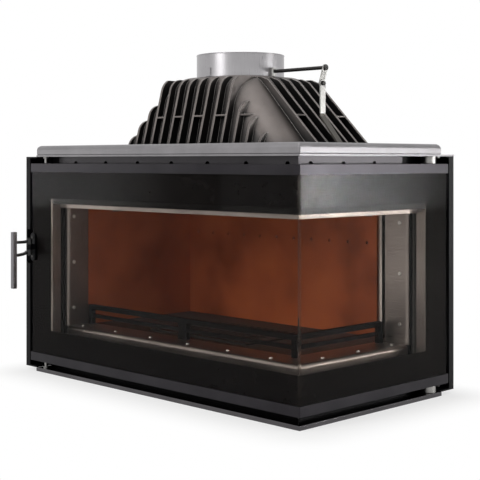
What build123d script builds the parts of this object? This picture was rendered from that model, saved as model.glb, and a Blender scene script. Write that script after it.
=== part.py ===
"""Corner fireplace insert, glazed on the front and on the right, built from its separate pieces.

Frame: millimetres, +Z up, origin on the underside of the base plate below the flue's axis.
The front faces -Y and the glazed side faces +X.
"""
import math
import os

from build123d import *

# Overall sizes
corner_x = 434.0                  # glazed corner, right of the flue's axis
corner_y = -276.0                 # glazed corner, in front of the flue's axis
base_thick = 8.5
roof_z = 509.0                    # underside of the top plate
top_plate_thick = 4.0
cover_thick = 22.0
cover_width = 845.0
cover_depth = 448.0
cover_corner_r = 3.0
cover_round = 10.0                # rounding of the slab's top edges
cover_chamfer = 1.5               # dark groove between the slab and the top plate
body_rear = 216.0
sheet = 3.0                       # wall of the folded casing
cover_left = corner_x - cover_width
cover_rear = corner_y + cover_depth
cover_z = roof_z + top_plate_thick
cover_top = cover_z + cover_thick

# Door
door_width = 868.0
door_depth = 472.0
door_bottom = 24.0
door_top = 493.0
door_thick = 30.0
rail_height = 20.0
rail_thick = 2.5
glass_thick = 4.0
print_thick = 0.5
stile_width = 80.0
hinge_stile_width = 74.0
frame_wall = 2.0
print_left = 74.0
print_rear = 73.0
print_top = 82.0
print_bottom = 76.0
channel_drop = 94.0               # depth of the upper channel below the door's top
channel_rise = 68.0               # height of the lower channel above the door's bottom
wash_height = 10.0
door_left = corner_x - door_width
door_rear = corner_y + door_depth
glass_in = rail_thick
print_in = glass_in + glass_thick
frame_in = print_in + print_thick
glass_low = door_bottom + rail_thick
glass_high = door_top - rail_thick
stile_x = door_left + stile_width
hinge_stile_y = door_rear - hinge_stile_width
window_low = door_bottom + print_bottom
window_high = door_top - print_top

# Door hinge
hinge_x = 415.5
hinge_y = 150.0
hinge_collar_r = 16.0
hinge_pin_r = 6.0
hinge_pin_reach = 20.0
bush_height = 20.0
bush_length = 30.0
running_gap = 0.3
bore_gap = 0.05
set_screw_r = 3.0
set_screw_h = 3.5

# Face frame, seal and trims of the firebox opening
face_in = 44.0
trim_in = 50.0
trim_width = 61.0
trim_thick = 2.0
trim_bend = 8.0
trim_tuck = 10.0
ledge_z = 108.0
ledge_width = 75.0
face_low_top = 88.0
face_high_bottom = 396.0
seal_width = 14.0
seal_low_z = 50.0
seal_high_z = 440.0
seal_left = -400.0
seal_rear = 137.0
screw_head_r = 4.5
screw_head_h = 2.2
screw_r = 2.0
screw_length = 5.0

# Firebox linings
lining_thick = 3.0
lining_high = 505.0
back_lining_y = 168.0
back_lining_right = 270.0
air_hole_r = 3.6
air_hole_pitch = 55.9
air_hole_z = 315.0
hearth_thick = 8.0

# Grate, ash box and ash pan
grate_x = -20.0
grate_y = -10.0
grate_length = 318.0
grate_depth = 218.0
grate_thick = 8.0
grate_land = 9.0
grate_rebate = 5.0
ash_wall = 3.0
pan_height = 68.0
pan_gap = 8.0
pan_wall = 2.0

# Log guard
guard_in = 106.0
guard_bar = 12.0
guard_height = 46.0
guard_top_rail = 11.0
guard_low_rail = 8.0
guard_low_z = 16.0
guard_left = -347.0
guard_rear = 105.0
guard_post = 26.0

# Baffle
baffle_thick = 25.0
baffle_z = 400.0
baffle_front = -90.0
baffle_right = 318.0

# Hood
hood_top = 687.0
hood_wall = 9.0
hood_half = 259.0
hood_half_top = 117.0
hood_front = -157.0
hood_front_top = -123.0
hood_back = 150.0
hood_back_top = 130.0
hood_corner_r = 50.0
hood_corner_top_r = 78.0
hood_shoulder_rise = 26.0
hood_shoulder_run = 20.0
shoulder_side_share = 0.33       # how much less the shoulder draws in at the sides
hollow_top = 676.0
hood_bow = 2.9                    # how far the hood's front bows back, 100 mm off its middle
fin_thick = 5.5
fin_pitch = 32.57
front_fins = 14
side_fins = 6
fin_front = -178.0
fin_bow = 4.87                    # how far the row of fins bows back, 100 mm off its middle
fin_lean = 0.26                   # how far a fin's front leans back per mm of height
fin_arc = 24.0                    # height over which a fin's tip rounds back into the hood
fin_tip_z = 683.0
fin_tip_y = -115.0
fin_tip_outer = 6.0               # how much further forward the tips of the outer fins lie
web_inset = 0.5
fin_root = -60.0                  # depth to which the fins and webs run back into the hood
outer_tip_z = 627.0
outer_tip_step = 33.8
side_shoulder_z = 675.0
side_shoulder_run = 22.0
fin_side = 291.0
fin_side_top = 148.0
side_fin_first = -60.0
web_z = 595.5
web_thick = 3.0
smoke_hole_x = 300.0
smoke_hole_y = 200.0
hood_flange = 12.0                # inward flange that stands on the cover
hood_bolt_r = 4.0
hood_bolt_x = 222.0
hood_bolt_front = -120.0
hood_bolt_back = 110.0

# Flue collar and damper
flue_r = 100.0
flue_wall = 2.0
flue_top = 740.0
flue_seat_z = 680.0
throat_r = 94.0
damper_z = 698.5
damper_r = 4.0
damper_reach = 257.7
flap_r = 93.0
flap_thick = 2.5
stop_ring_z = 705.3
stop_ring_h = 3.0
crank_length = 36.5
crank_tilt = 19.0
crank_width = 14.0
link_width = 16.0
bush_reach = 9.0
bush_half = 6.5
lug_width = 13.0
lug_thick = 3.0
lug_high = 707.0
link_thick = 3.0
link_low_z = 600.0
link_bolt_r = 3.0

# Handle
handle_x = -420.0
handle_y = -290.0
handle_bar = 11.0
handle_bar_low = 199.0
handle_bar_high = 332.0
handle_reach = 41.0
arm_thick = 6.5
arm_width = 7.0
arm_curve = 0.5                   # slope of the arms where they leave the knuckles
high_arm_drop = 3.0
low_arm_drop = 8.0
knuckle_height = 12.0
pin_head_h = 2.2
barrel_r = 7.0
barrel_low = 288.5
barrel_high = 301.5
handle_pin_r = 3.0
bracket_thick = 4.0
bracket_width = 18.0
bracket_low = 262.0
bracket_high = 327.0
hook_gap = 0.8                    # hook beside the door's edge
hook_thick = 3.0
hook_barb = 4.0
hook_end_y = -256.0
hook_low = 279.0
hook_high = 285.0
keeper_x = -450.0
keeper_reach = 5.0
keeper_y = -272.3
keeper_thick = 4.0
keeper_low = 260.0
keeper_high = 304.0

# Jambs
jamb_left = -453.0
jamb_lip = 16.0
jamb_rear_lip = 16.5
pocket_x = 323.0
pocket_y = 121.0
pocket_lap = 4.0                  # how far the pocket's bottom lies on the base plate

# Combustion air spigot
air_x = -200.0
air_z = 66.0
air_r = 50.0
air_wall = 2.0
air_length = 34.0
air_housing_r = 57.0
air_housing_length = 36.0
air_flange_r = 62.0
air_flap_y = 235.0
air_shaft_r = 3.0
air_lever = 14.0
air_lever_thick = 2.5
air_flap_gap = 1.5
air_flap_thick = 1.5

os.makedirs("parts", exist_ok=True)


def band(outer, inner, left, rear):
    """Corners of an L that follows the front and the glazed side between two insets."""
    return [
        (left, corner_y + outer),
        (corner_x - outer, corner_y + outer),
        (corner_x - outer, rear),
        (corner_x - inner, rear),
        (corner_x - inner, corner_y + inner),
        (left, corner_y + inner),
    ]


def l_wall(outer, inner, left, rear, low, high):
    """Upright L-shaped wall."""
    with BuildSketch(Plane.XY.offset(low)) as plan:
        Polygon(*band(outer, inner, left, rear), align=None)
    extrude(plan.sketch, amount=high - low)


def block(x0, x1, y0, y1, z0, z1, mode=Mode.ADD):
    """Box between two corners."""
    with BuildSketch(Plane.XY.offset(z0)) as plan:
        with Locations(((x0 + x1) / 2, (y0 + y1) / 2)):
            Rectangle(x1 - x0, y1 - y0)
    extrude(plan.sketch, amount=z1 - z0, mode=mode)


def post(x, y, radius, z0, z1, mode=Mode.ADD):
    """Upright round post or hole."""
    with BuildSketch(Plane.XY.offset(z0)) as plan:
        with Locations((x, y)):
            Circle(radius)
    extrude(plan.sketch, amount=z1 - z0, mode=mode)


def save(builder, label):
    """Labels one finished piece and writes it."""
    builder.part.label = label
    export_step(builder.part, f"parts/{label}.step")


# Base plate
with BuildPart() as base_plate:
    block(cover_left, corner_x, corner_y, cover_rear, 0, base_thick)
    chamfer(base_plate.faces().sort_by(Axis.Z)[-1].edges(), 1.0)
save(base_plate, "base_plate")

# Floor pan
pan_top = base_thick + sheet
with BuildPart() as floor_pan:
    with BuildSketch(Plane.XY.offset(base_thick)):
        with BuildLine():
            Polyline(
                (cover_left + sheet, corner_y + trim_in),
                (corner_x - trim_in, corner_y + trim_in),
                (corner_x - trim_in, pocket_y),
                (pocket_x, pocket_y),
                (pocket_x, body_rear - sheet),
                (cover_left + sheet, body_rear - sheet),
                close=True,
            )
        make_face()
    extrude(amount=sheet)
save(floor_pan, "floor_pan")

# Rear wall with the hole of the air spigot
with BuildPart() as rear_wall:
    block(cover_left, pocket_x, body_rear - sheet, body_rear, base_thick, roof_z)
    with BuildSketch(Plane.XZ.offset(-body_rear)):
        with Locations((air_x, air_z)):
            Circle(air_r - air_wall)
    extrude(amount=sheet, mode=Mode.SUBTRACT)
save(rear_wall, "rear_wall")

# Left wall
with BuildPart() as left_wall:
    block(cover_left, cover_left + sheet, corner_y + face_in, body_rear - sheet, base_thick, roof_z)
save(left_wall, "left_wall")

# Left jamb, folded round the door's free edge
latch_low = bracket_low - 7.5
latch_high = bracket_high + 8.5
with BuildPart() as left_jamb:
    block(jamb_left, jamb_left + jamb_lip, corner_y, corner_y + sheet, base_thick, roof_z)
    block(jamb_left, jamb_left + sheet, corner_y, corner_y + face_in, base_thick, roof_z)
    block(jamb_left, cover_left + sheet, corner_y + face_in - sheet, corner_y + face_in, base_thick, roof_z)
    block(jamb_left, cover_left, corner_y, corner_y + face_in, base_thick, base_thick + sheet)
    block(jamb_left, cover_left, corner_y, corner_y + face_in, roof_z - sheet, roof_z)
    block(jamb_left + sheet, jamb_left + jamb_lip, corner_y, corner_y + sheet, latch_low, latch_high, Mode.SUBTRACT)
save(left_jamb, "left_jamb")

# Hinge jamb, folded round the pocket that the door's rear edge turns into
with BuildPart() as hinge_jamb:
    block(pocket_x, corner_x - trim_in - trim_tuck, pocket_y, pocket_y + sheet, base_thick, roof_z)
    block(pocket_x, pocket_x + sheet, pocket_y, body_rear, base_thick, roof_z)
    block(pocket_x, corner_x, body_rear - sheet, body_rear, base_thick, roof_z)
    block(corner_x - sheet, corner_x, body_rear - jamb_rear_lip, body_rear, base_thick, roof_z)
    block(pocket_x, corner_x, cover_rear - pocket_lap, body_rear, base_thick, base_thick + sheet)
save(hinge_jamb, "hinge_jamb")

# Top plate and the cover slab over it, both open for the smoke
hood_bolts_at = [
    (side * hood_bolt_x, y) for side in (-1, 1) for y in (hood_bolt_front, hood_bolt_back)
]


def smoke_way(low, height):
    """Cuts the smoke opening and the holes of the hood's bolts."""
    with BuildSketch(Plane.XY.offset(low)) as plan:
        RectangleRounded(smoke_hole_x, smoke_hole_y, 20)
        with Locations(*hood_bolts_at):
            Circle(hood_bolt_r + bore_gap)
    extrude(plan.sketch, amount=height, mode=Mode.SUBTRACT)


with BuildPart() as top_plate:
    block(cover_left, corner_x, corner_y, body_rear + 2, roof_z, cover_z)
    smoke_way(roof_z, top_plate_thick)
save(top_plate, "top_plate")

with BuildPart() as top_cover:
    block(cover_left, corner_x, corner_y, cover_rear, cover_z, cover_top)
    fillet(top_cover.edges().filter_by(Axis.Z), cover_corner_r)
    fillet(top_cover.faces().sort_by(Axis.Z)[-1].edges(), cover_round)
    chamfer(top_cover.faces().sort_by(Axis.Z)[0].edges(), cover_chamfer)
    smoke_way(cover_z, cover_thick)
save(top_cover, "top_cover")

# Face frame that the door's seal presses on
face_left = cover_left + sheet
face_rear = pocket_y + 17
with BuildPart() as lower_face_band:
    l_wall(face_in, trim_in, face_left, face_rear, base_thick, face_low_top)
save(lower_face_band, "lower_face_band")

with BuildPart() as upper_face_band:
    l_wall(face_in, trim_in, face_left, face_rear, face_high_bottom, roof_z)
save(upper_face_band, "upper_face_band")

trim_x = stile_x                         # face of the left trim
trim_y = pocket_y - trim_thick           # face of the right trim
with BuildPart() as left_face_post:
    block(
        face_left, trim_x - trim_bend, corner_y + face_in, corner_y + trim_in, face_low_top, face_high_bottom
    )
save(left_face_post, "left_face_post")

with BuildPart() as hinge_face_post:
    block(
        corner_x - trim_in, corner_x - face_in, trim_y + trim_bend, face_rear, face_low_top, face_high_bottom
    )
save(hinge_face_post, "hinge_face_post")

# Trims: folded stainless strips round the opening, each with a rounded outer edge
ledge_front_at = [(corner_x - 144.0 - 123.0 * k, corner_y + trim_in + 24.0) for k in range(6)]
ledge_side_at = [(corner_x - trim_in - 24.0, corner_y + 147.0 + 111.5 * k) for k in range(3)]
upright_z = [150.0 + 108.5 * k for k in range(3)]
left_screw_y = corner_y + trim_in + 19.0
right_screw_x = corner_x - trim_in - 21.0


def folded_edge(width, leg):
    """Section of a trim: a flat of the given width, a round bend at the origin side, a hidden leg.

    Local x runs into the firebox and local y is the outward normal of the flat.
    """
    with BuildLine() as section:
        Polyline((trim_bend, 0), (width, 0), (width, -trim_thick), (trim_bend, -trim_thick))
        RadiusArc((trim_bend, -trim_thick), (trim_thick, -trim_bend), -(trim_bend - trim_thick))
        Polyline((trim_thick, -trim_bend), (trim_thick, -leg), (0, -leg), (0, -trim_bend))
        RadiusArc((0, -trim_bend), (trim_bend, 0), trim_bend)
    return section.line.edges()


with BuildPart() as ledge_trim:
    with BuildLine() as ledge_path:
        Polyline(
            (stile_x, corner_y + trim_in, ledge_z),
            (corner_x - trim_in, corner_y + trim_in, ledge_z),
            (corner_x - trim_in, trim_y, ledge_z),
        )
    with BuildSketch(Plane(origin=(stile_x, corner_y + trim_in, ledge_z), x_dir=(0, 1, 0), z_dir=(1, 0, 0))):
        make_face(folded_edge(ledge_width, ledge_z - face_low_top + trim_tuck))
    sweep(path=ledge_path.line, transition=Transition.RIGHT)
    with BuildSketch(Plane.XY.offset(ledge_z - trim_thick)):
        with Locations(*ledge_front_at, *ledge_side_at):
            Circle(screw_r + bore_gap)
    extrude(amount=trim_thick, mode=Mode.SUBTRACT)
save(ledge_trim, "ledge_trim")

with BuildPart() as left_trim:
    with BuildSketch(Plane(origin=(trim_x, corner_y + trim_in, ledge_z), x_dir=(0, 1, 0), z_dir=(0, 0, -1))):
        make_face(folded_edge(trim_width, trim_bend + trim_tuck))
    extrude(amount=-(lining_high - ledge_z))
    with BuildSketch(Plane.YZ.offset(trim_x - trim_thick)):
        with Locations(*[(left_screw_y, z) for z in upright_z]):
            Circle(screw_r + bore_gap)
    extrude(amount=trim_thick, mode=Mode.SUBTRACT)
save(left_trim, "left_trim")

with BuildPart() as right_trim:
    with BuildSketch(Plane(origin=(corner_x - trim_in, trim_y, ledge_z), x_dir=(-1, 0, 0), z_dir=(0, 0, 1))):
        make_face(folded_edge(trim_width, trim_bend + trim_tuck))
    extrude(amount=lining_high - ledge_z)
    with BuildSketch(Plane.XZ.offset(-trim_y)):
        with Locations(*[(right_screw_x, z) for z in upright_z]):
            Circle(screw_r + bore_gap)
    extrude(amount=-trim_thick, mode=Mode.SUBTRACT)
save(right_trim, "right_trim")


def screws(plane, points, depth):
    """Domed screws on a plane: a head in front of it and a shank behind it."""
    with BuildSketch(plane) as heads:
        with Locations(*points):
            Circle(screw_head_r)
    extrude(heads.sketch, amount=screw_head_h, taper=28)
    with BuildSketch(plane) as shanks:
        with Locations(*points):
            Circle(screw_r)
    extrude(shanks.sketch, amount=-depth)


with BuildPart() as trim_screws:
    screws(Plane.XY.offset(ledge_z), ledge_front_at + ledge_side_at, trim_thick)
    screws(Plane.YZ.offset(trim_x), [(left_screw_y, z) for z in upright_z], trim_thick)
    screws(Plane.XZ.offset(-trim_y), [(right_screw_x, z) for z in upright_z], trim_thick)
save(trim_screws, "trim_screws")

# Linings of the firebox
lining_low = ledge_z - trim_thick
with BuildPart() as left_lining:
    block(
        trim_x - trim_thick - lining_thick,
        trim_x - trim_thick,
        corner_y + trim_in + trim_bend + 4,
        back_lining_y,
        lining_low,
        lining_high,
    )
save(left_lining, "left_lining")

lining_left = trim_x - trim_thick
air_holes = int((back_lining_right - lining_left - 40) / air_hole_pitch) + 1
with BuildPart() as back_lining:
    with BuildSketch(Plane.XY.offset(lining_low)):
        with BuildLine():
            Polyline(
                (lining_left, back_lining_y),
                (back_lining_right - trim_bend, back_lining_y),
            )
            RadiusArc(
                (back_lining_right - trim_bend, back_lining_y),
                (back_lining_right, back_lining_y + trim_bend),
                trim_bend,
            )
            Polyline(
                (back_lining_right, back_lining_y + trim_bend),
                (back_lining_right, body_rear - sheet),
                (back_lining_right - lining_thick, body_rear - sheet),
                (back_lining_right - lining_thick, back_lining_y + trim_bend),
            )
            RadiusArc(
                (back_lining_right - lining_thick, back_lining_y + trim_bend),
                (back_lining_right - trim_bend, back_lining_y + lining_thick),
                -(trim_bend - lining_thick),
            )
            Polyline(
                (back_lining_right - trim_bend, back_lining_y + lining_thick),
                (lining_left, back_lining_y + lining_thick),
                (lining_left, back_lining_y),
            )
        make_face()
    extrude(amount=lining_high - lining_low)
    with BuildSketch(Plane.XZ.offset(-back_lining_y)):
        with Locations(
            *[(back_lining_right - 35.5 - air_hole_pitch * k, air_hole_z) for k in range(air_holes)]
        ):
            Circle(air_hole_r)
    extrude(amount=-lining_thick, mode=Mode.SUBTRACT)
save(back_lining, "back_lining")

# Hearth plate with the rebate that the grate lies in
hearth_top = ledge_z - trim_thick
hearth_low = hearth_top - hearth_thick
with BuildPart() as hearth_plate:
    block(
        lining_left - lining_thick,
        corner_x - trim_in - ledge_width + 10,
        corner_y + trim_in + ledge_width - 10,
        back_lining_y + lining_thick + 2,
        hearth_low,
        hearth_top,
    )
    block(
        grate_x - grate_length / 2 - 1,
        grate_x + grate_length / 2 + 1,
        grate_y - grate_depth / 2 - 1,
        grate_y + grate_depth / 2 + 1,
        hearth_top - grate_rebate,
        hearth_top,
        Mode.SUBTRACT,
    )
    block(
        grate_x - grate_length / 2 + grate_land,
        grate_x + grate_length / 2 - grate_land,
        grate_y - grate_depth / 2 + grate_land,
        grate_y + grate_depth / 2 - grate_land,
        hearth_low,
        hearth_top,
        Mode.SUBTRACT,
    )
save(hearth_plate, "hearth_plate")

# Ash box: the walls under the hearth plate, open for primary air at the rear
box_x = grate_length / 2 - grate_land + ash_wall
box_y = grate_depth / 2 - grate_land + ash_wall
with BuildPart() as ash_box:
    with BuildSketch(Plane.XY.offset(pan_top)):
        with Locations((grate_x, grate_y)):
            Rectangle(2 * box_x, 2 * box_y)
            Rectangle(2 * (box_x - ash_wall), 2 * (box_y - ash_wall), mode=Mode.SUBTRACT)
    extrude(amount=hearth_low - pan_top)
    block(
        grate_x - 60, grate_x + 60, grate_y + box_y - ash_wall, grate_y + box_y, pan_top + 12, pan_top + 42,
        Mode.SUBTRACT,
    )
save(ash_box, "ash_box")

# Ash pan
pan_x = box_x - ash_wall - pan_gap
pan_y = box_y - ash_wall - pan_gap
pan_low = pan_top + running_gap
with BuildPart() as ash_pan:
    block(grate_x - pan_x, grate_x + pan_x, grate_y - pan_y, grate_y + pan_y, pan_low, pan_low + pan_height)
    fillet(ash_pan.edges().filter_by(Axis.Z), 10.0)
    offset(amount=-pan_wall, openings=ash_pan.faces().sort_by(Axis.Z)[-1])
    with BuildSketch(Plane.XY.offset(pan_low + pan_height - pan_wall)):
        with Locations((grate_x, grate_y)):
            RectangleRounded(2 * pan_x + 8, 2 * pan_y + 8, 14)
            RectangleRounded(2 * pan_x - 2 * pan_wall, 2 * pan_y - 2 * pan_wall, 8, mode=Mode.SUBTRACT)
    extrude(amount=pan_wall)
save(ash_pan, "ash_pan")

# Grate
with BuildPart() as grate:
    grate_low = hearth_top - grate_rebate + running_gap
    with BuildSketch(Plane.XY.offset(grate_low)):
        with Locations((grate_x, grate_y)):
            RectangleRounded(grate_length, grate_depth, 4)
            with GridLocations(22, 92, 12, 2):
                SlotOverall(80, 11, rotation=90, mode=Mode.SUBTRACT)
    extrude(amount=grate_thick)
save(grate, "grate")

# Log guard on the ledge
guard_low = ledge_z + running_gap
guard_high = guard_low + guard_height
guard_out = guard_in + guard_bar
with BuildPart() as log_guard:
    l_wall(guard_in, guard_out, guard_left, guard_rear, guard_high - guard_top_rail, guard_high)
    l_wall(
        guard_in + 2, guard_out - 2, guard_left, guard_rear,
        guard_low + guard_low_z, guard_low + guard_low_z + guard_low_rail,
    )
    for x in (guard_left, (guard_left + corner_x - guard_in) / 2 - guard_post / 2):
        block(x, x + guard_post / 2, corner_y + guard_in, corner_y + guard_out, guard_low, guard_high)
    mid_x = (guard_left + corner_x - guard_in) / 2
    block(mid_x, mid_x + guard_post / 2, corner_y + guard_in, corner_y + guard_out, guard_low, guard_high)
    block(
        corner_x - guard_out, corner_x - guard_in, corner_y + guard_in, corner_y + guard_out,
        guard_low, guard_high,
    )
    block(
        corner_x - guard_out, corner_x - guard_in, guard_rear - guard_bar, guard_rear, guard_low, guard_high
    )
save(log_guard, "log_guard")

# Baffle plate and the angles that carry it
angle = 18.0
with BuildPart() as baffle:
    block(
        lining_left + 5, baffle_right, baffle_front, back_lining_y - 3, baffle_z, baffle_z + baffle_thick
    )
    chamfer(baffle.edges().filter_by(Axis.Z), 4.0)
save(baffle, "baffle")

angle_top = baffle_z - running_gap
with BuildPart() as baffle_supports:
    block(lining_left, lining_left + angle, baffle_front, 140, angle_top - sheet, angle_top)
    block(lining_left, lining_left + sheet, baffle_front, 140, angle_top - 25, angle_top)
    block(-320, 250, back_lining_y - angle, back_lining_y, angle_top - sheet, angle_top)
    block(-320, 250, back_lining_y - sheet, back_lining_y, angle_top - 25, angle_top)
    block(pocket_x - angle, pocket_x, pocket_y + 2, back_lining_y + 30, angle_top - sheet, angle_top)
    block(pocket_x - sheet, pocket_x, pocket_y + 2, back_lining_y + 30, angle_top - 25, angle_top)
save(baffle_supports, "baffle_supports")

# Perforated strip that lets the window's washing air in above the door
strip_in = 34.0
strip_thick = 2.0
strip_left = -366.0
strip_rear = 80.0
strip_low = 478.0
strip_hole_r = 6.0
strip_front_at = [(corner_x - 62.0 - 112.0 * k, door_top) for k in range(7)]
strip_side_at = [(corner_y + 69.0 + 97.0 * k, door_top) for k in range(3)]
with BuildPart() as air_slot_strip:
    l_wall(strip_in, strip_in + strip_thick, strip_left, strip_rear, strip_low, roof_z)
    with BuildSketch(Plane.XZ.offset(-(corner_y + strip_in))):
        with Locations(*strip_front_at):
            Circle(strip_hole_r)
    extrude(amount=-strip_thick, mode=Mode.SUBTRACT)
    with BuildSketch(Plane.YZ.offset(corner_x - strip_in)):
        with Locations(*strip_side_at):
            Circle(strip_hole_r)
    extrude(amount=-strip_thick, mode=Mode.SUBTRACT)
save(air_slot_strip, "air_slot_strip")

# Hood: a cast dome with cooling fins
hood_height = hood_top - cover_top
hood_knee_z = hood_top - hood_shoulder_rise


def dome_outline(z, inset, run):
    """Outline of the dome at a height: bowed at the front and round at the corners.

    The inset draws it in all round. The run draws it in over the shoulder, less so at the sloping sides.
    """
    share = (z - cover_top) / hood_height
    side_run = run * shoulder_side_share
    half = hood_half + (hood_half_top - hood_half) * share - inset - side_run
    front = hood_front + (hood_front_top - hood_front) * share + inset + run
    back = hood_back + (hood_back_top - hood_back) * share - inset - run
    radius = hood_corner_r + (hood_corner_top_r - hood_corner_r) * share - inset - side_run
    bow = hood_bow * (half / 100) ** 2
    with BuildSketch(Plane.XY.offset(z)) as plan:
        with BuildLine():
            ThreePointArc((-half, front + bow), (0, front), (half, front + bow))
            Polyline((half, front + bow), (half, back), (-half, back), (-half, front + bow))
        make_face()
        fillet(plan.vertices(), radius)
    return plan.sketch


def dome(low, top, inset):
    """Outlines of the dome's flank from a height up to its knee, and of the rounded shoulder above it."""
    rise = top - hood_knee_z
    run = rise * hood_shoulder_run / hood_shoulder_rise
    flank = [dome_outline(z, inset, 0) for z in (low, (low + hood_knee_z) / 2, hood_knee_z)]
    turns = [math.radians(angle) for angle in (30, 60, 90)]
    shoulder = [
        dome_outline(hood_knee_z + rise * math.sin(turn), inset, run * (1 - math.cos(turn))) for turn in turns
    ]
    return flank, flank[-1:] + shoulder


def fin_shape(x):
    """Foot, knee and tip of the front fin at x, as depth and height."""
    ring = int(abs(x) / fin_pitch)
    foot_y = fin_front + fin_bow * (x / 100) ** 2
    tip_z = fin_tip_z if ring < 4 else outer_tip_z - outer_tip_step * (ring - 4)
    tip_y = fin_tip_y - fin_tip_outer * min(ring - 2, 1) if ring > 2 else fin_tip_y
    knee_z = max(tip_z - fin_arc, cover_top)
    return foot_y, foot_y + fin_lean * (knee_z - cover_top), knee_z, tip_y, tip_z


def fin_front_at(x, z):
    """Depth of a front fin's edge at a height below its knee, or of its tip."""
    foot_y, knee_y, knee_z, tip_y, tip_z = fin_shape(x)
    return foot_y + fin_lean * (z - cover_top) if z < knee_z else tip_y


front_fin_x = [fin_pitch * (k - (front_fins - 1) / 2) for k in range(front_fins)]
side_fin_y = [side_fin_first + fin_pitch * k for k in range(side_fins)]
side_slope = (fin_side - fin_side_top) / (side_shoulder_z - cover_top)
with BuildPart() as hood:
    for outlines in dome(cover_top, hood_top, 0):
        loft(outlines)
    for x in front_fin_x:
        foot_y, knee_y, knee_z, tip_y, tip_z = fin_shape(x)
        with BuildSketch(Plane.YZ.offset(x)):
            with BuildLine():
                if knee_z > cover_top:
                    Line((foot_y, cover_top), (knee_y, knee_z))
                TangentArc((knee_y, knee_z), (tip_y, tip_z), tangent=(fin_lean, 1))
                Polyline((tip_y, tip_z), (fin_root, tip_z), (fin_root, cover_top), (foot_y, cover_top))
            make_face()
        extrude(amount=fin_thick / 2, both=True)
    for y in side_fin_y:
        with BuildSketch(Plane.XZ.offset(-y)):
            with BuildLine():
                Polyline(
                    (0, cover_top),
                    (fin_side, cover_top),
                    (fin_side_top, side_shoulder_z),
                    (fin_side_top - side_shoulder_run, fin_tip_z),
                    (0, fin_tip_z),
                    close=True,
                )
            make_face()
            mirror(about=Plane.YZ)
        extrude(amount=fin_thick / 2, both=True)
    for k in range(1, front_fins - 1, 2):
        x0 = front_fin_x[k]
        x1 = front_fin_x[k + 1]
        with BuildSketch(Plane.XY.offset(web_z)):
            with BuildLine():
                Polyline(
                    (x0, fin_front_at(x0, web_z) + web_inset),
                    (x1, fin_front_at(x1, web_z) + web_inset),
                    (x1, fin_root),
                    (x0, fin_root),
                    close=True,
                )
            make_face()
        extrude(amount=web_thick)
    web_reach = fin_side - side_slope * (web_z - cover_top) - 2
    for side in (-1, 1):
        for k in (0, 4):
            block(
                min(side * -fin_root, side * web_reach), max(side * -fin_root, side * web_reach),
                side_fin_y[k], side_fin_y[k + 1], web_z, web_z + web_thick,
            )
    for outlines in dome(cover_top + hood_flange, hollow_top, hood_wall):
        loft(outlines, mode=Mode.SUBTRACT)
    with BuildSketch(Plane.XY.offset(cover_top)):
        RectangleRounded(smoke_hole_x + 80, smoke_hole_y, 30)
        with Locations(*hood_bolts_at):
            Circle(hood_bolt_r + bore_gap)
    extrude(amount=hood_flange, mode=Mode.SUBTRACT)
    post(0, 0, throat_r, hood_knee_z, hood_top, Mode.SUBTRACT)
    post(0, 0, flue_r + bore_gap, flue_seat_z, hood_top, Mode.SUBTRACT)
save(hood, "hood")

# Bolts that hold the hood down
with BuildPart() as hood_bolts:
    for x, y in hood_bolts_at:
        with BuildSketch(Plane.XY.offset(roof_z - 5.3)):
            with Locations((x, y)):
                RegularPolygon(7.5, 6)
        extrude(amount=5.3)
        post(x, y, hood_bolt_r, roof_z, cover_top + hood_flange)
save(hood_bolts, "hood_bolts")

# Flue collar with the step that a stove pipe stops on, and a lug at the front to hold it by
with BuildPart() as flue_collar:
    with BuildSketch(Plane.XY.offset(flue_seat_z)):
        Circle(flue_r)
        Circle(flue_r - flue_wall, mode=Mode.SUBTRACT)
    extrude(amount=flue_top - flue_seat_z)
    with BuildSketch(Plane.XY.offset(stop_ring_z)):
        Circle(flue_r - flue_wall)
        Circle(throat_r + 0.5, mode=Mode.SUBTRACT)
    extrude(amount=stop_ring_h)
    with BuildSketch(Plane.YZ):
        with Locations((0, damper_z)):
            Circle(damper_r + bore_gap)
    extrude(amount=flue_r + 5, both=True, mode=Mode.SUBTRACT)
    block(
        -lug_width / 2, lug_width / 2, -flue_r - lug_thick, -flue_r + flue_wall / 2, hood_top + running_gap, lug_high
    )
save(flue_collar, "flue_collar")

# Bush that carries the damper's shaft on the collar
with BuildPart() as damper_bush:
    block(
        flue_r - 4, flue_r + bush_reach, -bush_half, bush_half, hood_top + 0.5, damper_z + bush_half + 2
    )
    post(0, 0, flue_r, hood_top, flue_top, Mode.SUBTRACT)
    fillet(damper_bush.edges().filter_by(Axis.Z).sort_by(Axis.X)[-2:], 3.0)
    with BuildSketch(Plane.YZ):
        with Locations((0, damper_z)):
            Circle(damper_r + bore_gap)
    extrude(amount=130, mode=Mode.SUBTRACT)
save(damper_bush, "damper_bush")

# Damper shaft, flap and crank
with BuildPart() as damper_shaft:
    with BuildSketch(Plane.YZ.offset(-flue_r - 4)):
        with Locations((0, damper_z)):
            Circle(damper_r)
    extrude(amount=flue_r + 4 + damper_reach)
    with BuildSketch(Plane.YZ.offset(damper_reach)):
        with Locations((0, damper_z)):
            Circle(6.5)
    extrude(amount=3.0)
    chamfer(damper_shaft.edges().filter_by(GeomType.CIRCLE).sort_by(Axis.X)[-1], 0.8)
save(damper_shaft, "damper_shaft")

with BuildPart() as damper_flap:
    post(0, 0, flap_r, damper_z + damper_r, damper_z + damper_r + flap_thick)
save(damper_flap, "damper_flap")

crank_in = damper_reach - link_thick
with BuildPart() as damper_crank:
    with BuildSketch(Plane.YZ.offset(crank_in)):
        with Locations(Location((0, damper_z, 0), (0, 0, -90 - crank_tilt))):
            with Locations((crank_length / 2, 0)):
                SlotCenterToCenter(crank_length, crank_width)
            Circle(damper_r, mode=Mode.SUBTRACT)
            with Locations((crank_length, 0)):
                Circle(link_bolt_r + bore_gap, mode=Mode.SUBTRACT)
    extrude(amount=link_thick)
save(damper_crank, "damper_crank")

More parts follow.
